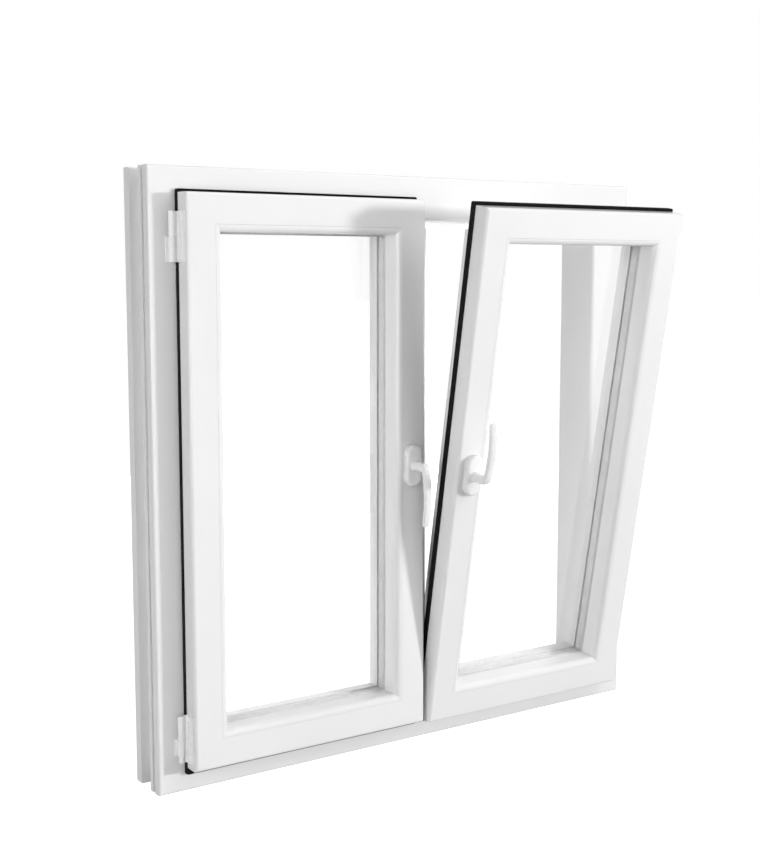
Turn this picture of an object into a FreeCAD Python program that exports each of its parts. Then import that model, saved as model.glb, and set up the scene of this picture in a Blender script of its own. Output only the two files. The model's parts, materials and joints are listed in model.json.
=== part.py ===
# Two-leaf tilt and turn window with a welded profile frame and no fixed mullion.
# The left leaf is shut. The right leaf is tilted in at its head.
# Lengths are millimetres. X runs along the window, Y from the room to the outside, Z up.
# The origin is under the sill, halfway along it and in the middle of its outer foot.

import FreeCAD, Part
import math
import os
import Sketcher

Vector = FreeCAD.Vector
NEAR = 1e-6

# Driving dimensions: name, value in millimetres or degrees
SIZES = [
    ("frame_width", 1000),
    ("frame_height", 1000),
    ("frame_depth", 89),
    ("jamb_width", 90),
    ("head_width", 75),
    ("foot_inset", 10),
    ("front_leg", 17),
    ("key_groove", 7),
    ("key_groove_deep", 8),
    ("middle_web", 10),
    ("wall_groove", 35),
    ("wall_groove_deep", 16),
    ("frame_edge_round", 4),
    ("reveal_round", 6),
    ("side_margin", 47),
    ("end_margin", 41),
    ("sash_gap", 10),
    ("sash_face", 60),
    ("sash_depth", 88),
    ("flange_thick", 31),
    ("flange_round", 6),
    ("sash_clearance", 4),
    ("seal_shut", 7),
    ("seal_free", 11),
    ("seal_side_proud", 2),
    ("seal_head_proud", 5.5),
    ("seal_foot_proud", 12),
    ("seal_width", 8),
    ("seal_inset", 1),
    ("seal_root", 4),
    ("seal_corner_round", 3),
    ("seat_gap", 0.3),
    ("bead_width", 11.5),
    ("bead_round", 10.5),
    ("pane_thick", 4),
    ("pane_cavity", 16),
    ("pane_edge_gap", 1.5),
    ("spacer_width", 10),
    ("tilt_angle", 9.8),
    ("tilt_axis_forward", 3),
    ("tilt_axis_height", 45),
    ("astragal_reach", 30),
    ("astragal_chamfer", 4),
    ("hinge_height", 78),
    ("upper_hinge_gap", 29),
    ("lower_hinge_gap", 11),
    ("hinge_axis_out", 11.5),
    ("hinge_axis_forward", 9),
    ("knuckle_radius", 5.3),
    ("hinge_pin_radius", 2.7),
    ("hinge_leaf_thick", 3),
    ("hinge_leaf_width", 13),
    ("hinge_screw_tail", 11),
    ("hinge_screw_radius", 3.8),
    ("cheek_thick", 1.5),
    ("cheek_step", 12),
    ("handle_height", 464.5),
    ("rosette_width", 33),
    ("rosette_height", 72),
    ("rosette_thick", 12),
    ("rosette_bevel", 4),
    ("spindle_radius", 7),
    ("spindle_overlap", 1),
    ("neck_size", 16),
    ("grip_width", 15),
    ("grip_thick", 9),
    ("grip_length", 110),
    ("grip_projection", 50),
    ("grip_bow", 3.5),
    ("grip_round", 3),
    ("drain_slot_long", 28),
    ("drain_slot_high", 5),
    ("drain_slot_deep", 6),
    ("drain_slot_rise", 24),
    ("drain_slot_inset", 150),
    ("bearing_length", 40),
    ("bearing_depth", 26),
    ("steel_thick", 3),
    ("bearing_pin_radius", 2.5),
    ("bearing_pin_height", 9.5),
    ("lug_width", 14),
    ("lug_depth", 20),
    ("lug_height", 11.5),
    ("lug_inset", 12),
    ("stay_width", 18),
    ("stay_frame_inset", 60),
    ("stay_sash_inset", 240),
    ("stay_stud_radius", 4),
    ("stay_stud_height", 2),
]

doc = FreeCAD.newDocument("TiltTurnWindow")
sheet = doc.addObject("Spreadsheet::Sheet", "Sizes")
for row, (alias, value) in enumerate(SIZES, start=1):
    sheet.set(f"A{row}", alias)
    sheet.set(f"B{row}", str(value))
    sheet.setAlias(f"B{row}", alias)
doc.recompute()

# Lengths that follow from the driving dimensions
ROOM_FACE = "(Sizes.foot_inset - Sizes.frame_depth)"
SASH_WIDTH = "((Sizes.frame_width - 2 * Sizes.side_margin - Sizes.sash_gap) / 2)"
SASH_HEIGHT = "(Sizes.frame_height - 2 * Sizes.end_margin)"
SASH_STAND = "(Sizes.flange_thick + Sizes.seal_shut)"
SASH_RECESS = "(Sizes.jamb_width - Sizes.side_margin + Sizes.sash_clearance)"
BEAD_LINE = "(Sizes.sash_face - Sizes.bead_width)"
GLASS_FRONT = f"({SASH_STAND} + Sizes.seat_gap)"
GLASS_BACK = f"({GLASS_FRONT} + 2 * Sizes.pane_thick + Sizes.pane_cavity)"
LIP_FRONT = f"({GLASS_BACK} + Sizes.seat_gap)"

HALF_TURN = "180"
QUARTER_TURN = "90"


def number(expression):
    """Value of an expression on the sheet."""
    return float(sheet.evalExpression(expression))


def point(x, y, z):
    """Vector expression from three scalar expressions."""
    return f"vector({x}; {y}; {z})"


def shift(x, y, z):
    """Placement expression without a turn."""
    return f"placement({point(x, y, z)}; rotation(vector(0; 0; 1); 0))"


def turned(x, y, z, axis, angle):
    """Placement expression with a turn about a local axis, such as (0; 1; 0)."""
    return f"placement({point(x, y, z)}; rotation(vector({axis}); {angle}))"


# Where each leaf stands: its local frame has its corner at the front, lower left of the flange
TILT = (
    "placement(vector(0; 0; 0); rotation(vector(1; 0; 0); Sizes.tilt_angle); "
    + point("0", f"{ROOM_FACE} - Sizes.tilt_axis_forward", "Sizes.tilt_axis_height") + ")"
)
LEAF_AT = {
    "left": shift("Sizes.side_margin - Sizes.frame_width / 2", f"{ROOM_FACE} - {SASH_STAND}",
                  "Sizes.end_margin"),
    "right": TILT + " * " + shift("Sizes.sash_gap / 2", f"{ROOM_FACE} - {SASH_STAND}",
                                  "Sizes.end_margin"),
}


def new_body(label, placement):
    """Empty body with its label and a placement bound to the sheet."""
    body = doc.addObject("PartDesign::Body", label)
    body.Label = label
    body.setExpression("Placement", placement)
    return body


def plane_of(body, role):
    """One of the body's own origin planes."""
    return next(item for item in body.Origin.OriginFeatures if item.Role == role)


def new_sketch(body, name, role):
    """Sketch attached to an origin plane of the body."""
    sketch = body.newObject("Sketcher::SketchObject", name)
    sketch.AttachmentSupport = [(plane_of(body, role), "")]
    sketch.MapMode = "FlatFace"
    return sketch


def hold_point(sketch, index, where, pair, bound):
    """Constraints that hold one sketch point at a pair of expressions."""
    held = []
    kinds = (("DistanceX", -2, pair[0]), ("DistanceY", -1, pair[1]))
    for kind, axis, expression in kinds:
        if expression == "0":
            held.append(Sketcher.Constraint("PointOnObject", index, where, axis))
            continue
        constraint = Sketcher.Constraint(kind, -1, 1, index, where, number(expression))
        constraint.Name = f"{kind}_{index}"
        bound.append((constraint.Name, expression))
        held.append(constraint)
    return held


def outline(body, name, role, loops):
    """Sketch of closed polygons whose corners are pairs of expressions."""
    sketch = new_sketch(body, name, role)
    constraints = []
    bound = []
    first = 0
    for loop in loops:
        corners = [Vector(number(a), number(b), 0) for a, b in loop]
        count = len(loop)
        for index in range(count):
            sketch.addGeometry(Part.LineSegment(corners[index], corners[(index + 1) % count]))
        for index, pair in enumerate(loop):
            following = first + (index + 1) % count
            constraints.append(Sketcher.Constraint("Coincident", first + index, 2, following, 1))
            constraints += hold_point(sketch, first + index, 1, pair, bound)
        first += count
    sketch.addConstraint(constraints)
    for constraint_name, expression in bound:
        sketch.setExpression("Constraints." + constraint_name, expression)
    return sketch


def disc(body, name, role, centre, radius):
    """Sketch of one circle."""
    sketch = new_sketch(body, name, role)
    middle = Vector(number(centre[0]), number(centre[1]), 0)
    sketch.addGeometry(Part.Circle(middle, Vector(0, 0, 1), number(radius)))
    bound = []
    constraints = hold_point(sketch, 0, 3, centre, bound)
    size = Sketcher.Constraint("Radius", 0, number(radius))
    size.Name = "size"
    sketch.addConstraint(constraints + [size])
    for constraint_name, expression in bound + [("size", radius)]:
        sketch.setExpression("Constraints." + constraint_name, expression)
    return sketch


def pad(body, name, sketch, length, symmetric=False, reverse=False):
    """Pad of a sketch."""
    feature = body.newObject("PartDesign::Pad", name)
    feature.Profile = sketch
    feature.setExpression("Length", length)
    feature.Midplane = symmetric
    feature.Reversed = reverse
    doc.recompute()
    return feature


def cut_through(body, name, sketch):
    """Pocket through everything on both sides of its sketch, checked to remove material."""
    doc.recompute()
    before = body.Shape.Volume
    feature = body.newObject("PartDesign::Pocket", name)
    feature.Profile = sketch
    feature.Type = "ThroughAll"
    feature.Midplane = True
    doc.recompute()
    if body.Shape.Volume >= before:
        raise RuntimeError(f"{body.Label}: {name} cuts nothing")
    return feature


def edges_where(shape, test):
    """Names of the edges whose midpoint and direction pass a test."""
    names = []
    for index, edge in enumerate(shape.Edges, start=1):
        middle = edge.valueAt((edge.FirstParameter + edge.LastParameter) / 2)
        if test(edge, middle):
            names.append(f"Edge{index}")
    return names


def dress_edges(body, kind, name, measure, size, test):
    """Fillet or chamfer on the edges that pass a test."""
    tip = body.Tip
    names = edges_where(tip.Shape, test)
    if not names:
        raise RuntimeError(f"{body.Label}: {name} finds no edge")
    feature = body.newObject("PartDesign::" + kind, name)
    feature.Base = (tip, names)
    feature.setExpression(measure, size)
    doc.recompute()


def round_edges(body, name, radius, test):
    """Fillet on the edges that pass a test."""
    dress_edges(body, "Fillet", name, "Radius", radius, test)


def bevel_edges(body, name, size, test):
    """Chamfer on the edges that pass a test."""
    dress_edges(body, "Chamfer", name, "Size", size, test)


def runs_along_z(edge):
    """True for a straight edge along the body's Z axis."""
    ends = [vertex.Point for vertex in edge.Vertexes]
    if len(ends) != 2:
        return False
    return abs(ends[0].x - ends[1].x) + abs(ends[0].y - ends[1].y) < NEAR


def round_section_corners(body, name, radius, corners):
    """Fillet on the long edges over some corners of the section."""
    places = [(number(a), number(b)) for a, b in corners]

    def over_corner(edge, middle):
        near = any(math.hypot(middle.x - x, middle.y - y) < 100 * NEAR for x, y in places)
        return near and runs_along_z(edge)

    round_edges(body, name, radius, over_corner)


def mitred_bar(label, section, rounds, length, face, neighbour_face, placement):
    """Extruded profile with both ends mitred to meet its neighbours."""
    body = new_body(label, placement)
    pad(body, "bar", outline(body, "section", "XY_Plane", [section]), length)
    for index, (radius, corners) in enumerate(rounds):
        round_section_corners(body, f"edge_round_{index}", radius, corners)
    low = [("0", "0"), (face, "0"), (face, neighbour_face)]
    high = [("0", length), (face, length), (face, f"{length} - {neighbour_face}")]
    cut_through(body, "mitres", outline(body, "mitre_lines", "XZ_Plane", [low, high]))
    return body


def ring_of_bars(names, section, rounds, size, inset, faces, at, depth):
    """Four mitred bars around an opening: left, right, top and bottom."""
    width, height = size
    side_face, end_face = faces
    clear_width = f"({width} - 2 * {inset})"
    clear_height = f"({height} - 2 * {inset})"
    right = f"{width} - {inset}"
    top = f"{height} - {inset}"
    upright = (clear_height, side_face, end_face)
    level = (clear_width, end_face, side_face)
    bars = [
        (names[0], section(side_face), upright, shift(inset, depth, inset)),
        (names[1], section(side_face), upright, turned(right, depth, top, "0; 1; 0", HALF_TURN)),
        (names[2], section(end_face), level, turned(inset, depth, top, "0; 1; 0", QUARTER_TURN)),
        (names[3], section(end_face), level,
         turned(right, depth, inset, "0; 1; 0", "-" + QUARTER_TURN)),
    ]
    for label, corners, (length, face, neighbour), place in bars:
        mitred_bar(label, corners, rounds(face), length, face, neighbour, f"{at} * {place}")


# Outer frame
def frame_section(face):
    """Frame profile: outer legs and grooves at the wall side, plain reveal at the opening."""
    groove_1 = "Sizes.front_leg"
    groove_2 = f"({groove_1} + Sizes.key_groove)"
    groove_3 = f"({groove_2} + Sizes.middle_web)"
    groove_4 = f"({groove_3} + Sizes.wall_groove)"
    return [
        ("0", "0"),
        (face, "0"),
        (face, "Sizes.frame_depth"),
        ("0", "Sizes.frame_depth"),
        ("0", groove_4),
        ("Sizes.wall_groove_deep", groove_4),
        ("Sizes.wall_groove_deep", groove_3),
        ("0", groove_3),
        ("0", groove_2),
        ("Sizes.key_groove_deep", groove_2),
        ("Sizes.key_groove_deep", groove_1),
        ("0", groove_1),
    ]


def frame_rounds(face):
    """Rounded edges of the frame's room side."""
    return [
        ("Sizes.frame_edge_round", [("0", "0")]),
        ("Sizes.reveal_round", [(face, "0")]),
    ]


ring_of_bars(
    ["frame_left_jamb", "frame_right_jamb", "frame_head", "frame_sill"],
    frame_section,
    frame_rounds,
    ("Sizes.frame_width", "Sizes.frame_height"),
    "0",
    ("Sizes.jamb_width", "Sizes.head_width"),
    shift("-Sizes.frame_width / 2", ROOM_FACE, "0"),
    "0",
)


def drain_slots():
    """Two slots in the outer face of the sill that let rainwater out."""
    sill = doc.getObject("frame_sill")
    low = "Sizes.drain_slot_rise"
    high = "(Sizes.drain_slot_rise + Sizes.drain_slot_high)"
    loops = []
    for start in ("Sizes.drain_slot_inset",
                  "(Sizes.frame_width - Sizes.drain_slot_inset - Sizes.drain_slot_long)"):
        stop = f"({start} + Sizes.drain_slot_long)"
        loops.append([(low, start), (high, start), (high, stop), (low, stop)])
    sketch = outline(sill, "slots", "XZ_Plane", loops)
    sketch.setExpression("AttachmentOffset", shift("0", "0", "-Sizes.frame_depth"))
    doc.recompute()
    before = sill.Shape.Volume
    pocket = sill.newObject("PartDesign::Pocket", "slot_cut")
    pocket.Profile = sketch
    pocket.Reversed = True
    pocket.setExpression("Length", "Sizes.drain_slot_deep")
    doc.recompute()
    if sill.Shape.Volume >= before:
        raise RuntimeError("the drain slots cut nothing")


drain_slots()


# Leaves
def sash_section(face):
    """Sash profile: room-side flange, seal groove, body, glazing rebate and outer lip."""
    groove_near = "(Sizes.seal_inset + Sizes.seal_width / 4)"
    groove_far = "(Sizes.seal_inset + Sizes.seal_width * 3 / 4)"
    groove_floor = "(Sizes.flange_thick - Sizes.seal_root)"
    return [
        ("0", "0"),
        (BEAD_LINE, "0"),
        (BEAD_LINE, LIP_FRONT),
        (face, LIP_FRONT),
        (face, "Sizes.sash_depth"),
        (SASH_RECESS, "Sizes.sash_depth"),
        (SASH_RECESS, "Sizes.flange_thick"),
        (groove_far, "Sizes.flange_thick"),
        (groove_far, groove_floor),
        (groove_near, groove_floor),
        (groove_near, "Sizes.flange_thick"),
        ("0", "Sizes.flange_thick"),
    ]


def sash_rounds(face):
    """Rounded outer edge of the flange."""
    return [("Sizes.flange_round", [("0", "0")])]


def bead_section(face):
    """Glazing bead between the sash face and the glass."""
    return [
        ("0", "0"),
        (face, "0"),
        (face, SASH_STAND),
        ("0", SASH_STAND),
    ]


def bead_rounds(face):
    """Rounded nose of the bead beside the glass."""
    return [("Sizes.bead_round", [(face, "0")])]


def rectangle(inset):
    """Corners of the leaf's outline moved in by an inset."""
    right = f"{SASH_WIDTH} - {inset}"
    top = f"{SASH_HEIGHT} - {inset}"
    return [(inset, inset), (right, inset), (right, top), (inset, top)]


def flat_ring(label, at, outer, inner, depth, thickness):
    """Flat rectangular ring in the plane of the leaf, from one depth outward."""
    body = new_body(label, f"{at} * {shift('0', depth, '0')}")
    sketch = outline(body, "ring", "XZ_Plane", [rectangle(outer), rectangle(inner)])
    pad(body, "ring_pad", sketch, thickness, reverse=True)
    return body


def pressed_wedge():
    """Corners of the wedge that the sill squeezes off the tilted leaf's free seal."""
    axis_depth = f"({SASH_STAND} - Sizes.tilt_axis_forward)"
    axis_height = "(Sizes.tilt_axis_height - Sizes.end_margin)"
    slope = "tan(Sizes.tilt_angle)"
    meets = (f"({axis_depth} + (Sizes.tilt_axis_forward - Sizes.seat_gap) / cos(Sizes.tilt_angle)"
             f" - ({axis_height} + Sizes.seal_foot_proud) * {slope} - Sizes.flange_thick)")
    beyond = "(Sizes.seal_free + 1)"
    return [(meets, "0"), (beyond, "0"), (beyond, f"({beyond} - {meets}) / {slope}")]


def seal_rectangle(inset):
    """Corners of the leaf's outline moved in by an inset, from the seal's own corner."""
    left = f"(Sizes.seal_side_proud + {inset})"
    low = f"(Sizes.seal_foot_proud + {inset})"
    right = f"({SASH_WIDTH} + Sizes.seal_side_proud - {inset})"
    top = f"({SASH_HEIGHT} + Sizes.seal_foot_proud - {inset})"
    return [(left, low), (right, low), (right, top), (left, top)]


def leaf_seal(side, thickness):
    """Black seal that stands out past the flange, with its root in the groove."""
    root_near = "(Sizes.seal_inset + Sizes.seal_width / 4 + Sizes.seat_gap)"
    root_far = "(Sizes.seal_inset + Sizes.seal_width * 3 / 4 - Sizes.seat_gap)"
    body = new_body(f"{side}_seal", f"{LEAF_AT[side]} * " + shift(
        "-Sizes.seal_side_proud", "Sizes.flange_thick", "-Sizes.seal_foot_proud"))
    wide = f"({SASH_WIDTH} + 2 * Sizes.seal_side_proud)"
    high = f"({SASH_HEIGHT} + Sizes.seal_foot_proud + Sizes.seal_head_proud)"
    outer = [("0", "0"), (wide, "0"), (wide, high), ("0", high)]
    inner = seal_rectangle("(Sizes.seal_inset + Sizes.seal_width)")
    pad(body, "ring_pad", outline(body, "ring", "XZ_Plane", [outer, inner]), thickness,
        reverse=True)
    middle_x = number(wide) / 2
    middle_z = number(high) / 2

    def at_outer_corner(edge, middle):
        return (abs(abs(middle.x - middle_x) - middle_x) < NEAR
                and abs(abs(middle.z - middle_z) - middle_z) < NEAR)

    round_edges(body, "outer_corners", "Sizes.seal_corner_round", at_outer_corner)
    root = outline(body, "root", "XZ_Plane",
                   [seal_rectangle(root_near), seal_rectangle(root_far)])
    pad(body, "root_pad", root, "Sizes.seal_root - Sizes.seat_gap")
    if side == "right":
        cut_through(body, "pressed", outline(body, "wedge", "YZ_Plane", [pressed_wedge()]))


def leaf_glass(side):
    """Sealed unit: two panes and the spacer between them."""
    at = LEAF_AT[side]
    edge = f"({BEAD_LINE} + Sizes.pane_edge_gap)"
    depths = {"inner": GLASS_FRONT, "outer": f"{GLASS_BACK} - Sizes.pane_thick"}
    for name, depth in depths.items():
        body = new_body(f"{side}_{name}_pane", f"{at} * {shift('0', depth, '0')}")
        sketch = outline(body, "sheet", "XZ_Plane", [rectangle(edge)])
        pad(body, "sheet_pad", sketch, "Sizes.pane_thick", reverse=True)
    flat_ring(f"{side}_glass_spacer", at, edge, f"({edge} + Sizes.spacer_width)",
              f"{GLASS_FRONT} + Sizes.pane_thick", "Sizes.pane_cavity")


def leaf(side, seal_thickness):
    """One leaf: four bars, four beads, seal and glass."""
    hinge_first = ["hinge_stile", "meeting_stile"]
    if side == "right":
        hinge_first.reverse()
    bars = hinge_first + ["top_rail", "bottom_rail"]
    size = (SASH_WIDTH, SASH_HEIGHT)
    ring_of_bars([f"{side}_sash_{bar}" for bar in bars], sash_section, sash_rounds, size, "0",
                 ("Sizes.sash_face", "Sizes.sash_face"), LEAF_AT[side], "0")
    ring_of_bars([f"{side}_bead_{bar}" for bar in bars], bead_section, bead_rounds, size,
                 f"({BEAD_LINE} + Sizes.seat_gap)",
                 ("(Sizes.bead_width - Sizes.seat_gap)", "(Sizes.bead_width - Sizes.seat_gap)"),
                 LEAF_AT[side], "0")
    leaf_seal(side, seal_thickness)
    leaf_glass(side)


leaf("left", "Sizes.seal_shut - Sizes.seat_gap")
leaf("right", "Sizes.seal_free")


# Meeting profiles behind the flanges, where the two leaves close on each other
BODY_HEIGHT = f"({SASH_HEIGHT} - 2 * {SASH_RECESS})"
MEETING_DEPTH = f"(Sizes.sash_depth - {SASH_STAND})"


def meeting_profile(label, at, start, width, chamfered_side):
    """Upright bar on a meeting stile, with its free corners cut off."""
    body = new_body(label, f"{at} * {shift(start, SASH_STAND, SASH_RECESS)}")
    cut = "Sizes.astragal_chamfer"
    far = f"{MEETING_DEPTH} - {cut}"
    if chamfered_side == "right":
        section = [("0", "0"), (f"{width} - {cut}", "0"), (width, cut), (width, far),
                   (f"{width} - {cut}", MEETING_DEPTH), ("0", MEETING_DEPTH)]
    else:
        section = [(cut, "0"), (width, "0"), (width, MEETING_DEPTH), (cut, MEETING_DEPTH),
                   ("0", far), ("0", cut)]
    pad(body, "bar", outline(body, "section", "XY_Plane", [section]), BODY_HEIGHT)
    return body


ASTRAGAL_WIDTH = f"({SASH_RECESS} + Sizes.astragal_reach)"
STRIP_START = "(Sizes.astragal_reach - Sizes.sash_gap + Sizes.sash_clearance)"
meeting_profile("left_astragal", LEAF_AT["left"], f"{SASH_WIDTH} - {SASH_RECESS}",
                ASTRAGAL_WIDTH, "right")
meeting_profile("right_meeting_strip", LEAF_AT["right"], STRIP_START,
                f"({SASH_RECESS} - {STRIP_START})", "left")


# Hinges of the left leaf
LEAF_EDGE_X = "(Sizes.side_margin - Sizes.frame_width / 2)"
HINGE_AXIS_X = f"({LEAF_EDGE_X} - Sizes.hinge_axis_out)"
HINGE_AXIS_Y = f"({ROOM_FACE} - Sizes.hinge_axis_forward)"


def upright_cylinder(name, radius, start, length, bore=None):
    """Cylinder along Z about the hinge axis, with a bore where one is given."""
    solid = doc.addObject("Part::Cylinder", name)
    solid.setExpression("Radius", radius)
    solid.setExpression("Height", length)
    solid.setExpression("Placement", shift(HINGE_AXIS_X, HINGE_AXIS_Y, start))
    if bore is None:
        return solid
    core = upright_cylinder(name + "_bore", bore, start, length)
    hollow = doc.addObject("Part::Cut", name + "_hollow")
    hollow.Base = solid
    hollow.Tool = core
    return hollow


def plate(name, size, corner):
    """Flat box from its low corner."""
    solid = doc.addObject("Part::Box", name)
    for side_name, expression in zip(("Length", "Width", "Height"), size):
        solid.setExpression(side_name, expression)
    solid.setExpression("Placement", shift(*corner))
    return solid


def joined(label, pieces):
    """Boolean union under the sub-part's own label."""
    union = doc.addObject("Part::MultiFuse", label)
    union.Label = label
    union.Shapes = pieces
    union.Refine = True
    return union


def hinge(name, foot, tail):
    """Frame half with its pin below, sash half with its sleeve, wing and cheek above."""
    half = "(Sizes.hinge_height / 2)"
    split = f"({foot} + {half})"
    gap = "Sizes.seat_gap"
    low = f"({foot} + {tail})"
    frame_plate = plate(f"{name}_plate",
                        ("Sizes.hinge_leaf_width", "Sizes.hinge_leaf_thick", f"({half} - {tail})"),
                        (f"{HINGE_AXIS_X} - Sizes.hinge_leaf_width + Sizes.knuckle_radius",
                         f"{ROOM_FACE} - Sizes.hinge_leaf_thick", low))
    bridge = plate(f"{name}_bridge",
                   ("Sizes.knuckle_radius", "Sizes.hinge_axis_forward", f"({half} - {tail})"),
                   (f"{HINGE_AXIS_X} - Sizes.knuckle_radius / 2", HINGE_AXIS_Y, low))
    pin = upright_cylinder(f"{name}_pin", "Sizes.hinge_pin_radius", low,
                           f"Sizes.hinge_height - {tail}")
    knuckle = upright_cylinder(f"{name}_knuckle", "Sizes.knuckle_radius", low,
                               f"({half} - {tail})")
    pieces = [frame_plate, bridge, knuckle, pin]
    if tail != "0":
        pieces.append(upright_cylinder(f"{name}_screw", "Sizes.hinge_screw_radius", foot, tail))
    joined(f"{name}_frame_half", pieces)
    bore = "(Sizes.hinge_pin_radius + Sizes.seat_gap)"
    upper = f"({half} - {gap})"
    sleeve = upright_cylinder(f"{name}_sleeve", "Sizes.knuckle_radius", f"{split} + {gap}", upper,
                              bore)
    wing_front = f"({ROOM_FACE} - Sizes.seal_shut - {gap} - Sizes.hinge_leaf_thick)"
    clear_of_knuckle = f"(Sizes.knuckle_radius + {gap})"
    wing = plate(f"{name}_wing",
                 (f"Sizes.hinge_axis_out - {clear_of_knuckle}", "Sizes.hinge_leaf_thick",
                  "Sizes.hinge_height"),
                 (f"{HINGE_AXIS_X} + {clear_of_knuckle}", wing_front, foot))
    link = plate(f"{name}_link",
                 (f"{clear_of_knuckle} - {bore}", "Sizes.hinge_leaf_thick", upper),
                 (f"{HINGE_AXIS_X} + {bore}", wing_front, f"{split} + {gap}"))
    cheek_front = f"({ROOM_FACE} - {SASH_STAND} + Sizes.flange_round)"
    cheek = plate(f"{name}_cheek",
                  ("Sizes.cheek_thick", "Sizes.flange_thick - Sizes.flange_round - 2 * " + gap,
                   "Sizes.hinge_height"),
                  (f"{LEAF_EDGE_X} - Sizes.cheek_thick", cheek_front, foot))
    step = plate(f"{name}_step",
                 ("2 * Sizes.cheek_thick", "Sizes.cheek_step", "Sizes.hinge_height"),
                 (f"{LEAF_EDGE_X} - 2 * Sizes.cheek_thick", f"{wing_front} - Sizes.cheek_step",
                  foot))
    joined(f"{name}_sash_half", [sleeve, link, wing, cheek, step])


hinge("upper_hinge",
      "(Sizes.frame_height - Sizes.end_margin - Sizes.upper_hinge_gap - Sizes.hinge_height)", "0")
hinge("lower_hinge", "(Sizes.end_margin + Sizes.lower_hinge_gap)", "Sizes.hinge_screw_tail")


# Handles
def rosette(side, across):
    """Oval plate that carries the handle's spindle."""
    body = new_body(f"{side}_handle_rosette",
                    f"{LEAF_AT[side]} * " + shift(f"{across} - Sizes.rosette_width / 2",
                                                  "-Sizes.rosette_thick",
                                                  "Sizes.handle_height - Sizes.rosette_height / 2"))
    half = "(Sizes.rosette_width / 2)"
    high_end = f"(Sizes.rosette_height - {half})"
    block = [("0", half), ("Sizes.rosette_width", half), ("Sizes.rosette_width", high_end),
             ("0", high_end)]
    pad(body, "block", outline(body, "plan", "XZ_Plane", [block]), "Sizes.rosette_thick",
        reverse=True)
    for name, height in (("low_end", half), ("high_end", high_end)):
        end = disc(body, name, "XZ_Plane", (half, height), half)
        pad(body, name + "_pad", end, "Sizes.rosette_thick", reverse=True)
    bevel_edges(body, "rim", "Sizes.rosette_bevel", lambda edge, middle: abs(middle.y) < NEAR)
    bore = disc(body, "bore", "XZ_Plane", ("Sizes.rosette_width / 2", "Sizes.rosette_height / 2"),
                "Sizes.spindle_radius + Sizes.seat_gap")
    cut_through(body, "bore_cut", bore)


def lever(side, across, axis):
    """Cranked handle: spindle, neck and a slightly bowed grip."""
    body = new_body(f"{side}_handle_lever",
                    f"{LEAF_AT[side]} * " + turned(across, "0", "Sizes.handle_height", axis,
                                                   HALF_TURN)
                    + " * " + shift("0", "0", "-Sizes.neck_size / 2"))
    base = "(Sizes.rosette_thick + Sizes.seat_gap)"
    out = "Sizes.grip_projection"
    under = f"({out} - Sizes.grip_thick)"
    side_view = [
        (base, "0"),
        (out, "0"),
        (f"{out} + Sizes.grip_bow * 2 / 3", "Sizes.grip_length / 4"),
        (f"{out} + Sizes.grip_bow", "Sizes.grip_length / 2"),
        (f"{out} + Sizes.grip_bow / 2", "Sizes.grip_length * 3 / 4"),
        (f"{out} - Sizes.grip_bow / 2", "Sizes.grip_length"),
        (f"{under} - Sizes.grip_bow / 2", "Sizes.grip_length"),
        (f"{under} + Sizes.grip_bow / 2", "Sizes.grip_length * 3 / 4"),
        (f"{under} + Sizes.grip_bow", "Sizes.grip_length / 2"),
        (f"{under} + Sizes.grip_bow * 2 / 3", "Sizes.grip_length / 4"),
        (f"{under} - Sizes.grip_thick / 3", "Sizes.neck_size"),
        (base, "Sizes.neck_size"),
    ]
    sketch = outline(body, "side_view", "YZ_Plane", [side_view])
    pad(body, "crank", sketch, "Sizes.grip_width", symmetric=True)
    half_width = number("Sizes.grip_width") / 2
    foot = number(base) + number("Sizes.grip_round")
    round_edges(body, "elbow", "Sizes.grip_thick",
                lambda edge, middle: abs(middle.x) < NEAR and abs(middle.z) < NEAR
                and middle.y > foot)
    round_edges(body, "soft_edges", "Sizes.grip_round",
                lambda edge, middle: abs(abs(middle.x) - half_width) < NEAR
                and middle.y > foot)
    spindle = disc(body, "spindle", "XZ_Plane", ("0", "Sizes.neck_size / 2"),
                   "Sizes.spindle_radius")
    spindle.setExpression("AttachmentOffset", shift("0", "0", "-Sizes.seat_gap"))
    pad(body, "spindle_pad", spindle, "Sizes.rosette_thick + Sizes.spindle_overlap", reverse=True)
    return body


HANDLE_ACROSS = {
    "left": f"({SASH_WIDTH} - Sizes.sash_face / 2)",
    "right": "(Sizes.sash_face / 2)",
}
LEVER_TURN = {"left": "1; 0; 0", "right": "0; 0; 1"}
for side, across in HANDLE_ACROSS.items():
    rosette(side, across)
    lever(side, across, LEVER_TURN[side])


# Concealed bearing and tilt stay of the right leaf
REVEAL_X = "(Sizes.frame_width / 2 - Sizes.jamb_width)"
BEARING_X = f"({REVEAL_X} - Sizes.steel_thick)"
PIN_Y = f"({ROOM_FACE} + Sizes.reveal_round + Sizes.bearing_depth / 2)"
PIN_Z = "(Sizes.head_width + Sizes.bearing_pin_height)"


def cross_cylinder(name, radius, start, length):
    """Cylinder along X about the bearing's pin axis."""
    solid = doc.addObject("Part::Cylinder", name)
    solid.setExpression("Radius", radius)
    solid.setExpression("Height", length)
    solid.setExpression("Placement", turned(start, PIN_Y, PIN_Z, "0; 1; 0", QUARTER_TURN))
    return solid


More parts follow.
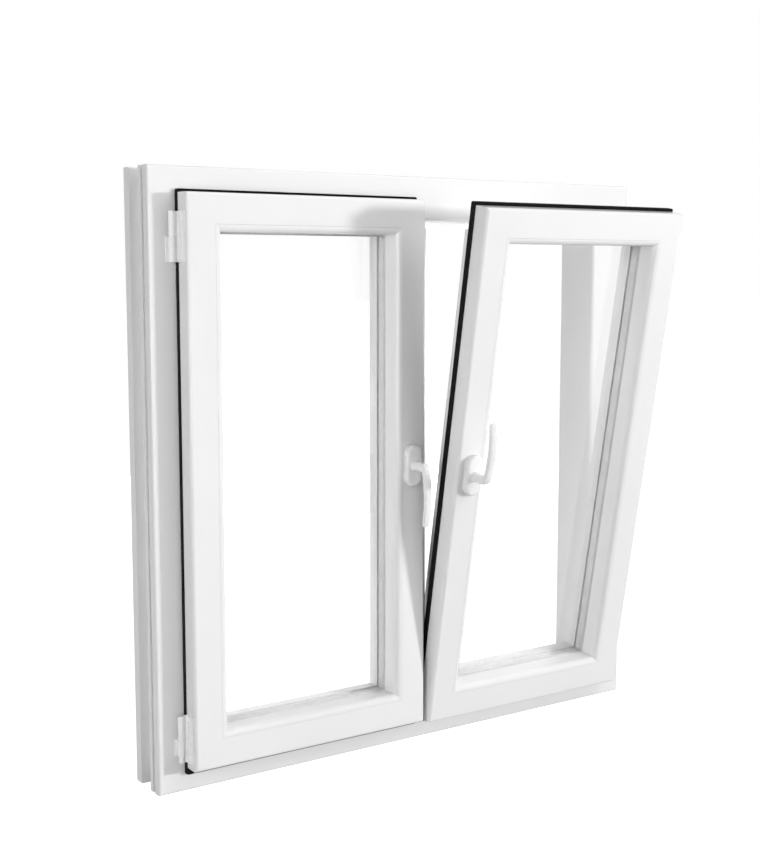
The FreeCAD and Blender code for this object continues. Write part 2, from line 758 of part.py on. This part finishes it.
def corner_bearing():
    """Steel angle in the corner of the frame with its pin, and the leaf's lug on the pin."""
    near = f"({ROOM_FACE} + Sizes.reveal_round)"
    foot = plate("bearing_foot",
                 ("Sizes.bearing_length", "Sizes.bearing_depth", "Sizes.steel_thick"),
                 (f"{REVEAL_X} - Sizes.bearing_length", near, "Sizes.head_width"))
    back = plate("bearing_back",
                 ("Sizes.steel_thick", "Sizes.bearing_depth", "Sizes.bearing_length"),
                 (BEARING_X, near, "Sizes.head_width"))
    pin = cross_cylinder("bearing_pin", "Sizes.bearing_pin_radius",
                         f"{BEARING_X} - Sizes.bearing_length / 2", "Sizes.bearing_length / 2")
    joined("right_corner_bearing", [foot, back, pin])
    lug = plate("lug_block", ("Sizes.lug_width", "Sizes.lug_depth", "Sizes.lug_height"),
                ("0", "0", "0"))
    lug_x = ("Sizes.frame_width / 2 - Sizes.jamb_width - Sizes.steel_thick - Sizes.sash_gap / 2"
             " - Sizes.lug_width - Sizes.sash_clearance")
    lug.setExpression("Placement", LEAF_AT["right"] + " * " + shift(
        lug_x, f"{SASH_STAND} + Sizes.lug_inset", f"{SASH_RECESS} - Sizes.lug_height"))
    bore = cross_cylinder("lug_bore", "Sizes.bearing_pin_radius + Sizes.seat_gap",
                          f"{BEARING_X} - Sizes.bearing_length", "Sizes.bearing_length")
    pierced = doc.addObject("Part::Cut", "right_leaf_lug")
    pierced.Label = "right_leaf_lug"
    pierced.Base = lug
    pierced.Tool = bore


corner_bearing()


def disc_bar(start, run, radius, thick):
    """Flat bar with round ends, its top face on the line from a point along a run."""
    bar = Part.makeBox(run.Length, 2 * radius, thick, Vector(0, -radius, -thick))
    for x in (0, run.Length):
        bar = bar.fuse(Part.makeCylinder(radius, thick, Vector(x, 0, -thick)))
    yaw = math.degrees(math.atan2(run.y, run.x))
    pitch = math.degrees(math.asin(-run.z / run.Length))
    return bar.removeSplitter(), FreeCAD.Placement(start, FreeCAD.Rotation(yaw, pitch, 0))


def feature(label, shape, placement):
    """Sub-part from a finished shape."""
    item = doc.addObject("Part::Feature", label)
    item.Label = label
    item.Shape = shape
    item.Placement = placement


def tilt_stay():
    """Stay from the frame head to the top rail: two studded plates and the arm between them."""
    steel = number("Sizes.steel_thick")
    radius = number("Sizes.stay_width") / 2
    stud = number("Sizes.stay_stud_radius")
    gap = number("Sizes.seat_gap")
    rise = number("Sizes.stay_stud_height")
    leaf_frame = FreeCAD.Placement(doc.getObject("right_inner_pane").Placement)
    under_head = number("Sizes.frame_height - Sizes.head_width")
    frame_end = Vector(number(REVEAL_X) - number("Sizes.stay_frame_inset"),
                       number(ROOM_FACE) + radius + number("Sizes.reveal_round"), under_head)
    plate_box = Part.makeBox(4 * radius, 2 * radius, steel, Vector(-2 * radius, -radius, 0))
    pin = Part.makeCylinder(stud, rise, Vector(0, 0, steel))
    studded = plate_box.fuse(pin).removeSplitter()
    upside_down = FreeCAD.Rotation(Vector(1, 0, 0), 180)
    feature("right_stay_frame_plate", studded, FreeCAD.Placement(frame_end, upside_down))
    rail_depth = number(f"{SASH_STAND} + {MEETING_DEPTH} / 2 - {GLASS_FRONT}")
    on_rail = Vector(number(f"{SASH_WIDTH} - Sizes.stay_sash_inset"), rail_depth,
                     number(f"{SASH_HEIGHT} - {SASH_RECESS}"))
    leaf_end = FreeCAD.Placement(leaf_frame.multVec(on_rail), leaf_frame.Rotation)
    feature("right_stay_leaf_plate", studded, leaf_end)
    start = frame_end - Vector(0, 0, steel + rise + gap)
    finish = leaf_end.multVec(Vector(0, 0, 2 * steel + rise + 2 * gap))
    bar, placement = disc_bar(start, finish - start, radius, steel)
    feature("right_stay_arm", bar, placement)


doc.recompute()
tilt_stay()

# Every object is checked before anything is written
WHOLE = ("PartDesign::Body", "Part::MultiFuse", "Part::Feature")
SUBPARTS = [item for item in doc.Objects if item.TypeId in WHOLE]
SUBPARTS.append(doc.getObject("right_leaf_lug"))
doc.recompute()
for item in doc.Objects:
    if "Invalid" in item.State or "Error" in item.State:
        raise RuntimeError(f"{item.Label} failed: {item.State}")
for item in SUBPARTS:
    if item.Shape.isNull() or not item.Shape.isValid():
        raise RuntimeError(f"{item.Label} has no valid shape")

os.makedirs("parts", exist_ok=True)
for item in SUBPARTS:
    item.Shape.exportStep(os.path.join("parts", item.Label + ".step"))
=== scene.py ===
import json
import math

import bmesh
import bpy
from mathutils import Euler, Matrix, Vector


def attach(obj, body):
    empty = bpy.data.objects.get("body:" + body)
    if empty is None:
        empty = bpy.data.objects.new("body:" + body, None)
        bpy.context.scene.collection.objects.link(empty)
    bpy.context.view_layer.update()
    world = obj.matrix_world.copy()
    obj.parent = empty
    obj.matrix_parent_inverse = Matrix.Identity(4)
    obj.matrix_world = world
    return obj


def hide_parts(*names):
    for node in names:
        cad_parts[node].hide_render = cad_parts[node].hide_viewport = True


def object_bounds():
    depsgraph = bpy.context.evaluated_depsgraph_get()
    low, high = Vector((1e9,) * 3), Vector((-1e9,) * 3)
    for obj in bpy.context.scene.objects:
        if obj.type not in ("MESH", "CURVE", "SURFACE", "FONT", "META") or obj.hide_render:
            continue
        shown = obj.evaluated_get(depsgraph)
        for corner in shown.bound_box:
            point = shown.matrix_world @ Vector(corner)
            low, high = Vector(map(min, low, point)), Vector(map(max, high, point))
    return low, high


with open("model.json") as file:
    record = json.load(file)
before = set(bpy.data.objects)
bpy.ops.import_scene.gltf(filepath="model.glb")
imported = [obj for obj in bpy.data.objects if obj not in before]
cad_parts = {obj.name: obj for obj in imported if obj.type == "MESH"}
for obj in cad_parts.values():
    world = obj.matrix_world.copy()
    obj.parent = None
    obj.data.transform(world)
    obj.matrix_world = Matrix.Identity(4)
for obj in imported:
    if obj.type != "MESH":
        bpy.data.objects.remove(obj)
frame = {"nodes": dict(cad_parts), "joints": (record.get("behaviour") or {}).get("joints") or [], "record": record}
cad_low, cad_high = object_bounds()

NODES = frame["nodes"]
JOINTS = {joint["name"]: joint for joint in frame["joints"]}
MM = 0.001

# Materials
NOISE_LOW = 0.3
NOISE_HIGH = 0.7


class Painter:
    """Node tree of one material, with short calls for the nodes it uses."""

    def __init__(self, name):
        self.material = bpy.data.materials.new(name)
        self.material.use_nodes = True
        self.tree = self.material.node_tree
        self.shader = self.tree.nodes["Principled BSDF"]
        self.output = self.tree.nodes["Material Output"]

    def node(self, kind, **settings):
        made = self.tree.nodes.new(kind)
        for key, value in settings.items():
            setattr(made, key, value)
        return made

    def link(self, source, target):
        self.tree.links.new(source, target)

    def set(self, **values):
        for key, value in values.items():
            self.shader.inputs[key.replace("_", " ")].default_value = value

    def coordinates(self, stretch=(1, 1, 1)):
        """Object coordinates in metres, stretched along some axes."""
        place = self.node("ShaderNodeTexCoord")
        mapping = self.node("ShaderNodeMapping")
        mapping.inputs["Scale"].default_value = stretch
        self.link(place.outputs["Object"], mapping.inputs["Vector"])
        return mapping.outputs["Vector"]

    def noise(self, scale, detail=2.0, stretch=(1, 1, 1), roughness=0.5):
        made = self.node("ShaderNodeTexNoise")
        made.inputs["Scale"].default_value = scale
        made.inputs["Detail"].default_value = detail
        made.inputs["Roughness"].default_value = roughness
        self.link(self.coordinates(stretch), made.inputs["Vector"])
        return made.outputs["Fac"]

    def spread(self, source, low, high):
        """The middle part of a noise, mapped to a range."""
        made = self.node("ShaderNodeMapRange")
        ends = {"From Min": NOISE_LOW, "From Max": NOISE_HIGH, "To Min": low, "To Max": high}
        for end, value in ends.items():
            made.inputs[end].default_value = value
        self.link(source, made.inputs["Value"])
        return made.outputs["Result"]

    def colours(self, source, dark, pale):
        """Colour that varies between two tones, each a grey level or three parts."""
        made = self.node("ShaderNodeMix", data_type="RGBA")
        for end, tone in (("A", dark), ("B", pale)):
            parts = tone if isinstance(tone, tuple) else (tone, tone, tone)
            made.inputs[end].default_value = (*parts, 1)
        self.link(self.spread(source, 0, 1), made.inputs["Factor"])
        self.link(made.outputs["Result"], self.shader.inputs["Base Color"])

    def roughness(self, source, low, high):
        self.link(self.spread(source, low, high), self.shader.inputs["Roughness"])

    def bump(self, layers):
        """Bump from several height sources, each with its depth in metres."""
        normal = None
        for source, depth in layers:
            made = self.node("ShaderNodeBump")
            made.inputs["Strength"].default_value = 1.0
            made.inputs["Distance"].default_value = depth
            self.link(source, made.inputs["Height"])
            if normal is not None:
                self.link(normal, made.inputs["Normal"])
            normal = made.outputs["Normal"]
        self.link(normal, self.shader.inputs["Normal"])


def profile_white(name, stretch):
    """Extruded white profile: faint die lines along the bar and a soft, uneven sheen."""
    paint = Painter(name)
    paint.set(IOR=1.53)
    paint.colours(paint.noise(6, 3), 0.77, 0.79)
    paint.roughness(paint.noise(40, 3, stretch), 0.18, 0.23)
    paint.bump([
        (paint.noise(1400, 2, stretch), 0.000006),
        (paint.noise(12, 1), 0.00008),
    ])
    return paint.material


def rubber_black():
    """Black rubber seal with a matt, slightly dusty skin."""
    paint = Painter("seal_black")
    paint.set(IOR=1.5, Specular_IOR_Level=0.12)
    paint.colours(paint.noise(60, 4), 0.002, 0.006)
    paint.roughness(paint.noise(150, 3), 0.6, 0.8)
    paint.bump([(paint.noise(1500, 3), 0.00004)])
    return paint.material


def coated_white(name, tone, low, high):
    """White powder coat on metal: fine orange peel under a smooth sheen."""
    paint = Painter(name)
    paint.set(IOR=1.5)
    paint.colours(paint.noise(50, 3), tone, tone + 0.03)
    paint.roughness(paint.noise(120, 3), low, high)
    paint.bump([(paint.noise(1300, 2), 0.00003)])
    return paint.material


def zinc_steel():
    """Bright zinc plate with drawn lines and cloudy passivation."""
    paint = Painter("steel_zinc")
    paint.set(Metallic=1.0)
    paint.colours(paint.noise(45, 4), (0.50, 0.52, 0.55), (0.66, 0.67, 0.68))
    paint.roughness(paint.noise(90, 4, (6, 1, 1)), 0.28, 0.46)
    paint.bump([(paint.noise(700, 2, (0.05, 1, 1)), 0.00003)])
    return paint.material


def spacer_aluminium():
    """Satin aluminium spacer between the panes."""
    paint = Painter("spacer_grey")
    paint.set(Metallic=0.3)
    paint.colours(paint.noise(70, 3), 0.50, 0.56)
    paint.roughness(paint.noise(160, 3, (1, 1, 1)), 0.42, 0.55)
    paint.bump([(paint.noise(900, 2, (0.1, 1, 0.1)), 0.00002)])
    return paint.material


def grey_gasket():
    """Light grey glazing gasket, soft and matt."""
    paint = Painter("gasket_grey")
    paint.set(IOR=1.45)
    paint.colours(paint.noise(80, 3), 0.54, 0.60)
    paint.roughness(paint.noise(200, 3), 0.5, 0.65)
    paint.bump([(paint.noise(1200, 2), 0.00002)])
    return paint.material


GLASS_DIMMING = 0.93


def clear_glass():
    """Float glass: clear to the eye, and each surface dims the lamp light a little."""
    paint = Painter("glass_clear")
    paint.set(Base_Color=(1, 1, 1, 1), IOR=1.5, Transmission_Weight=1.0)
    paint.roughness(paint.noise(8, 2), 0.0, 0.004)
    clear = paint.node("ShaderNodeBsdfTransparent")
    clear.inputs["Color"].default_value = (GLASS_DIMMING, GLASS_DIMMING, GLASS_DIMMING, 1)
    path = paint.node("ShaderNodeLightPath")
    mix = paint.node("ShaderNodeMixShader")
    paint.link(path.outputs["Is Shadow Ray"], mix.inputs["Fac"])
    paint.link(paint.shader.outputs["BSDF"], mix.inputs[1])
    paint.link(clear.outputs["BSDF"], mix.inputs[2])
    paint.link(mix.outputs["Shader"], paint.output.inputs["Surface"])
    return paint.material


MATERIALS = {
    "upright": profile_white("profile_white_upright", (1, 1, 0.02)),
    "level": profile_white("profile_white_level", (0.02, 1, 1)),
    "seal_black": rubber_black(),
    "handle_white": coated_white("handle_white", 0.80, 0.22, 0.30),
    # The hinge's powder coat is set paler than the handle's as a painted highlight: it stands in for light that
    # falls on the hinge barrel.
    "hinge_white": coated_white("hinge_white", 0.88, 0.26, 0.36),
    "steel_zinc": zinc_steel(),
    "spacer_grey": spacer_aluminium(),
    "gasket_grey": grey_gasket(),
    "glass_clear": clear_glass(),
}
LEVEL_BARS = ("head", "sill", "rail")


def material_of(node, slot):
    """Material for a node by its slot; profiles take the variant that runs their way."""
    if slot == "pvc_white":
        return MATERIALS["level" if node.endswith(LEVEL_BARS) else "upright"]
    return MATERIALS[slot]


EDGE_WIDTH = 0.4 * MM
EDGE_WIDTH_BY_KIND = {"seal": 1.2 * MM, "pane": 0.3 * MM}
EDGE_ANGLE = 28
EDGE_STEPS = 2
WELD_REACH = 0.01 * MM
FLAT_FACE_WEIGHT = 100


def soften(piece, width):
    """Small rounded edges and smooth shading that keeps flat faces flat."""
    mesh = piece.data
    if "custom_normal" in mesh.attributes:
        mesh.attributes.remove(mesh.attributes["custom_normal"])
    for name in ("sharp_edge", "sharp_face"):
        if name in mesh.attributes:
            mesh.attributes.remove(mesh.attributes[name])
    joined = piece.modifiers.new("weld", "WELD")
    joined.merge_threshold = WELD_REACH
    edge = piece.modifiers.new("edge", "BEVEL")
    edge.width = width
    edge.segments = EDGE_STEPS
    edge.limit_method = "ANGLE"
    edge.angle_limit = math.radians(EDGE_ANGLE)
    edge.harden_normals = False
    edge.miter_outer = "MITER_ARC"
    mesh.polygons.foreach_set("use_smooth", [True] * len(mesh.polygons))
    even = piece.modifiers.new("even", "WEIGHTED_NORMAL")
    even.weight = FLAT_FACE_WEIGHT


def dress_nodes():
    """Every carried-over piece gets its finish, softened edges and smooth rounds."""
    for row in frame["record"]["subparts"]:
        name = row["node"]
        materials = NODES[name].data.materials
        materials.clear()
        materials.append(material_of(name, row["material_slot"]))
        soften(NODES[name], EDGE_WIDTH_BY_KIND.get(name.split("_")[-1], EDGE_WIDTH))


dress_nodes()


# Own pieces
def new_piece(name, verts, faces, material, body, smooth=True):
    """Mesh object with its material, riding on a body."""
    mesh = bpy.data.meshes.new(name)
    mesh.from_pydata(verts, [], faces)
    mesh.validate()
    edit = bmesh.new()
    edit.from_mesh(mesh)
    bmesh.ops.recalc_face_normals(edit, faces=edit.faces)
    edit.to_mesh(mesh)
    edit.free()
    mesh.polygons.foreach_set("use_smooth", [smooth] * len(mesh.polygons))
    mesh.materials.append(material)
    piece = bpy.data.objects.new(name, mesh)
    bpy.context.scene.collection.objects.link(piece)
    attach(piece, body)
    return piece


def bridged(rings, closed_ends=True):
    """Vertices and faces of a skin over equal rings of points."""
    verts = [tuple(point) for ring in rings for point in ring]
    count = len(rings[0])
    faces = []
    for row in range(len(rings) - 1):
        for step in range(count):
            following = (step + 1) % count
            a = row * count + step
            b = row * count + following
            faces.append((a, b, b + count, a + count))
    if closed_ends:
        faces.append(tuple(range(count)))
        last = (len(rings) - 1) * count
        faces.append(tuple(range(last, last + count)))
    return verts, faces


def smooth_curve(points, steps):
    """Points of a Catmull-Rom curve through rows of numbers."""
    rows = [Vector(point) for point in points]
    rows = [2 * rows[0] - rows[1]] + rows + [2 * rows[-1] - rows[-2]]
    made = []
    for index in range(1, len(rows) - 2):
        a, b, c, d = rows[index - 1:index + 3]
        for step in range(steps):
            t = step / steps
            made.append(0.5 * (2 * b + (c - a) * t + (2 * a - 5 * b + 4 * c - d) * t * t
                               + (3 * b - a - 3 * c + d) * t ** 3))
    made.append(rows[-2])
    return made


class HandleFrame:
    """Places points by their distance across, out of the leaf and along the grip."""

    def __init__(self, side):
        joint = JOINTS[f"{side}_handle_turn"]
        self.origin = Vector(joint["pos_m"])
        self.out = -Vector(joint["axis"]).normalized()
        up = Vector((1, 0, 0)).cross(self.out)
        up = up if up.z > 0 else -up
        self.along = -up if side == "left" else up
        self.across = Vector((1, 0, 0))

    def at(self, across, out, along):
        return self.origin + self.across * across + self.out * out + self.along * along


# Rows of the lever's centre line: out and along, width and thickness of its section
LEVER_ROUTE = [
    (11.5, 0.0, 19.0, 19.0),
    (14.5, 0.0, 17.5, 17.5),
    (20.0, 0.0, 15.4, 16.0),
    (30.0, 0.2, 14.6, 15.6),
    (37.5, 1.0, 14.8, 14.8),
    (42.6, 3.6, 15.0, 13.0),
    (44.9, 9.0, 15.0, 11.2),
    (46.0, 18.0, 15.0, 10.0),
    (47.8, 32.0, 15.0, 9.2),
    (48.9, 48.0, 15.0, 9.0),
    (48.6, 64.0, 14.8, 9.0),
    (46.9, 80.0, 14.4, 8.8),
    (44.7, 93.0, 13.8, 8.4),
    (43.4, 99.0, 13.0, 7.6),
    (42.9, 101.2, 10.5, 6.0),
    (42.7, 102.0, 6.0, 3.4),
]
LEVER_SQUARENESS = 2.5
LEVER_STEPS = 4
SECTION_POINTS = 40


def signed_power(value, power):
    return math.copysign(abs(value) ** power, value)


def make_lever(side):
    """Cranked handle with a soft neck and a slim bowed grip."""
    place = HandleFrame(side)
    rows = smooth_curve(LEVER_ROUTE, LEVER_STEPS)
    rings = []
    for index, row in enumerate(rows):
        before = rows[max(index - 1, 0)]
        after = rows[min(index + 1, len(rows) - 1)]
        run = Vector((after[0] - before[0], after[1] - before[1])).normalized()
        normal = Vector((run.y, -run.x))
        ring = []
        for step in range(SECTION_POINTS):
            angle = 2 * math.pi * step / SECTION_POINTS
            wide = signed_power(math.cos(angle), 2 / LEVER_SQUARENESS) * row[2] / 2
            thick = signed_power(math.sin(angle), 2 / LEVER_SQUARENESS) * row[3] / 2
            ring.append(place.at(wide * MM, (row[0] + normal.x * thick) * MM,
                                 (row[1] + normal.y * thick) * MM))
        rings.append(ring)
    verts, faces = bridged(rings)
    lever = new_piece(f"{side}_lever_body", verts, faces, MATERIALS["handle_white"],
                      f"{side}_handle")
    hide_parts(f"{side}_handle_lever")


# Rings of the rosette: how far it is drawn in from its outline, and its height off the leaf
ROSETTE_ROWS = [
    (0.3, 0.0), (0.0, 0.4), (0.0, 2.6), (0.35, 2.9), (0.35, 3.3), (0.0, 3.6), (0.0, 7.4),
    (0.25, 8.9), (0.95, 10.2), (2.0, 11.2), (3.3, 11.8), (4.8, 12.0), (6.2, 12.0),
]
ROSETTE_SIZE = (33.0, 72.0)
ARC_STEPS = 24


def stadium(width, height):
    """Points round an upright oval with straight sides."""
    radius = width / 2
    straight = height / 2 - radius
    points = []
    for end in (1, -1):
        for step in range(ARC_STEPS + 1):
            angle = math.pi * step / ARC_STEPS + (0 if end > 0 else math.pi)
            points.append((radius * math.cos(angle), radius * math.sin(angle) + end * straight))
    return points


def make_rosette(side):
    """Oval cover with a soft rim and the joint line round its base."""
    place = HandleFrame(side)
    width, height = ROSETTE_SIZE
    rings = []
    for inset, rise in ROSETTE_ROWS:
        oval = stadium(width - 2 * inset, height - 2 * inset)
        rings.append([place.at(x * MM, rise * MM, z * MM) for x, z in oval])
    verts, faces = bridged(rings)
    rosette = new_piece(f"{side}_rosette_cover", verts, faces, MATERIALS["handle_white"],
                        "window")
    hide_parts(f"{side}_handle_rosette")


for side in ("left", "right"):
    make_lever(side)
    make_rosette(side)


# Glazing gaskets: how far the beads and lips reach over the glass, and the gasket's section
SIGHT_INSET = 10.0
GASKET_SECTION = [
    (-0.1, -0.15), (2.3, -0.02), (2.25, 0.35), (1.5, 0.7), (0.9, 1.3), (0.4, 2.0), (-0.1, 2.1),
]


class LeafFrame:
    """Places points of a leaf by their distance across, behind its front face and up."""

    def __init__(self, side):
        self.across = Vector((1, 0, 0))
        self.depth = Vector(JOINTS[f"{side}_handle_turn"]["axis"]).normalized()
        self.up = self.across.cross(self.depth)

    def extent(self, node, direction):
        """Lowest and highest reach of a node along a direction."""
        piece = NODES[node]
        reach = [(piece.matrix_world @ vertex.co).dot(direction) for vertex in piece.data.vertices]
        return min(reach), max(reach)

    def at(self, across, depth, up):
        return self.across * across + self.depth * depth + self.up * up


def make_gasket(side, name, pane, outward):
    """Ring of gasket lip in the corner between a pane's face and the frame of the leaf."""
    place = LeafFrame(side)
    left, right = place.extent(pane, place.across)
    foot, top = place.extent(pane, place.up)
    face = place.extent(pane, place.depth)[0 if outward < 0 else 1]
    rings = []
    for inward, rise in GASKET_SECTION:
        inset = (SIGHT_INSET + inward) * MM
        depth = face + outward * rise * MM
        corners = ((left + inset, foot + inset), (right - inset, foot + inset),
                   (right - inset, top - inset), (left + inset, top - inset))
        rings.append([place.at(x, depth, z) for x, z in corners])
    rings.append(rings[0])
    verts, faces = bridged(rings, closed_ends=False)
    new_piece(f"{side}_{name}_gasket", verts, faces, MATERIALS["gasket_grey"],
              "window", smooth=False)


for side in ("left", "right"):
    make_gasket(side, "inner", f"{side}_inner_pane", -1)
    make_gasket(side, "outer", f"{side}_outer_pane", 1)


# Stage: pale floor, soft light and a white surround
FLOOR_REACH = 30
FLOOR_GREY = 0.40
FLOOR_GLOW = 0.95
FILL_STRENGTH = 0.74
FILL_FROM_ROOM = (-1.0, 0.2)
FILL_LEVEL = (0.15, 0.75)
MIDDLE = (0, -0.1, 0.5)
CAMERA_PLACE = (-1.3533, -1.9948, 0.8380)
CAMERA_SENSOR = 36
CAMERA_LENS = 55.74
CAMERA_DIP = 6.878
CAMERA_TURN = -33.72


def combined(tree, operation, first, second):
    """Result of a math node on two values."""
    made = tree.nodes.new("ShaderNodeMath")
    made.operation = operation
    tree.links.new(first, made.inputs[0])
    tree.links.new(second, made.inputs[1])
    return made.outputs[0]


def seen_by(tree):
    """One for the rays that show the white surround: direct, mirrored and through glass."""
    rays = tree.nodes.new("ShaderNodeLightPath").outputs
    mirrored = combined(tree, "MAXIMUM", rays["Is Glossy Ray"], rays["Is Transmission Ray"])
    return combined(tree, "MAXIMUM", rays["Is Camera Ray"], mirrored)


def floor_pale():
    """Matt floor that looks white, keeps the shadows and bounces little light."""
    paint = Painter("floor_pale")
    paint.set(Base_Color=(FLOOR_GREY, FLOOR_GREY, FLOOR_GREY, 1), Roughness=0.9)
    light = paint.node("ShaderNodeEmission")
    strength = paint.node("ShaderNodeMath", operation="MULTIPLY")
    strength.inputs[1].default_value = FLOOR_GLOW
    paint.link(seen_by(paint.tree), strength.inputs[0])
    paint.link(strength.outputs[0], light.inputs["Strength"])
    both = paint.node("ShaderNodeAddShader")
    paint.link(paint.shader.outputs["BSDF"], both.inputs[0])
    paint.link(light.outputs["Emission"], both.inputs[1])
    paint.link(both.outputs["Shader"], paint.output.inputs["Surface"])
    return paint.material


def make_floor():
    mesh = bpy.data.meshes.new("floor")
    edit = bmesh.new()
    bmesh.ops.create_grid(edit, x_segments=1, y_segments=1, size=FLOOR_REACH)
    edit.to_mesh(mesh)
    edit.free()
    floor = bpy.data.objects.new("floor", mesh)
    bpy.context.scene.collection.objects.link(floor)
    floor.location = (0, 0, cad_low.z)
    mesh.materials.append(floor_pale())


def make_world():
    """White surround for the eye; its soft fill comes level from the room side."""
    world = bpy.data.worlds.new("studio")
    world.use_nodes = True
    bpy.context.scene.world = world
    tree = world.node_tree
    background = tree.nodes["Background"]
    background.inputs["Color"].default_value = (1, 1, 1, 1)
    place = tree.nodes.new("ShaderNodeTexCoord")
    parts = tree.nodes.new("ShaderNodeSeparateXYZ")
    tree.links.new(place.outputs["Generated"], parts.inputs["Vector"])

    def fading(axis, span, strength):
        """Strength at the first end of a span along an axis, fading to none at the second."""
        full, none = span
        ramp = tree.nodes.new("ShaderNodeMapRange")
        ramp.inputs["From Min"].default_value = none
        ramp.inputs["From Max"].default_value = full
        ramp.inputs["To Max"].default_value = strength
        tree.links.new(parts.outputs[axis], ramp.inputs["Value"])
        return ramp.outputs["Result"]

    soft = combined(tree, "MULTIPLY", fading("Y", FILL_FROM_ROOM, FILL_STRENGTH),
                    fading("Z", FILL_LEVEL, 1.0))
    choice = tree.nodes.new("ShaderNodeMapRange")
    choice.inputs["To Max"].default_value = 1.0
    tree.links.new(soft, choice.inputs["To Min"])
    tree.links.new(seen_by(tree), choice.inputs["Value"])
    tree.links.new(choice.outputs["Result"], background.inputs["Strength"])


def make_lamp(name, place, target, size, power, sheen=True, matt=True, through=True):
    """Soft box aimed at a point.

    It can leave out its sheen, its matt light or its sight through glass.
    """
    data = bpy.data.lights.new(name, "AREA")
    data.shape = "RECTANGLE"
    data.size, data.size_y = size
    data.energy = power
    lamp = bpy.data.objects.new(name, data)
    bpy.context.scene.collection.objects.link(lamp)
    lamp.location = place
    aim = Vector(target) - Vector(place)
    lamp.rotation_euler = aim.to_track_quat("-Z", "Y").to_euler()
    lamp.visible_glossy = sheen
    lamp.visible_diffuse = matt
    lamp.visible_transmission = through


def make_camera():
    """Camera that stands where the photograph was taken from."""
    data = bpy.data.cameras.new("camera")
    data.sensor_width = CAMERA_SENSOR
    data.lens = CAMERA_LENS
    camera = bpy.data.objects.new("camera", data)
    bpy.context.scene.collection.objects.link(camera)
    camera.location = CAMERA_PLACE
    camera.rotation_euler = Euler((math.radians(90 - CAMERA_DIP), 0, math.radians(CAMERA_TURN)))
    bpy.context.scene.camera = camera


make_floor()
make_world()
make_lamp("key", (5.80, -5.61, 1.32), MIDDLE, (0.7, 0.7), 420, sheen=False)
make_lamp("high", (0.9, -1.7, 2.1), (0, -0.1, 0.7), (1.0, 1.0), 17.5, sheen=False)
make_lamp("side", (-3.0, -1.5, 0.9), MIDDLE, (1.6, 1.6), 32)
make_lamp("near", (-1.5, -0.85, 0.6), (-0.5, -0.1, 0.6), (0.35, 1.1), 3.4, sheen=False)
make_lamp("line", (-2.3, -2.7, 0.85), MIDDLE, (0.12, 1.6), 26, matt=False, through=False)
make_lamp("back", (1.2, 3.0, 0.58), (0, 0, 0.5), (2.0, 0.8), 92, sheen=False, through=False)
make_lamp("crown", (0, 0.03, 2.4), (0, 0.03, 1.0), (1.8, 0.2), 7.5)
make_camera()
bpy.context.scene.view_settings.view_transform = "Standard"
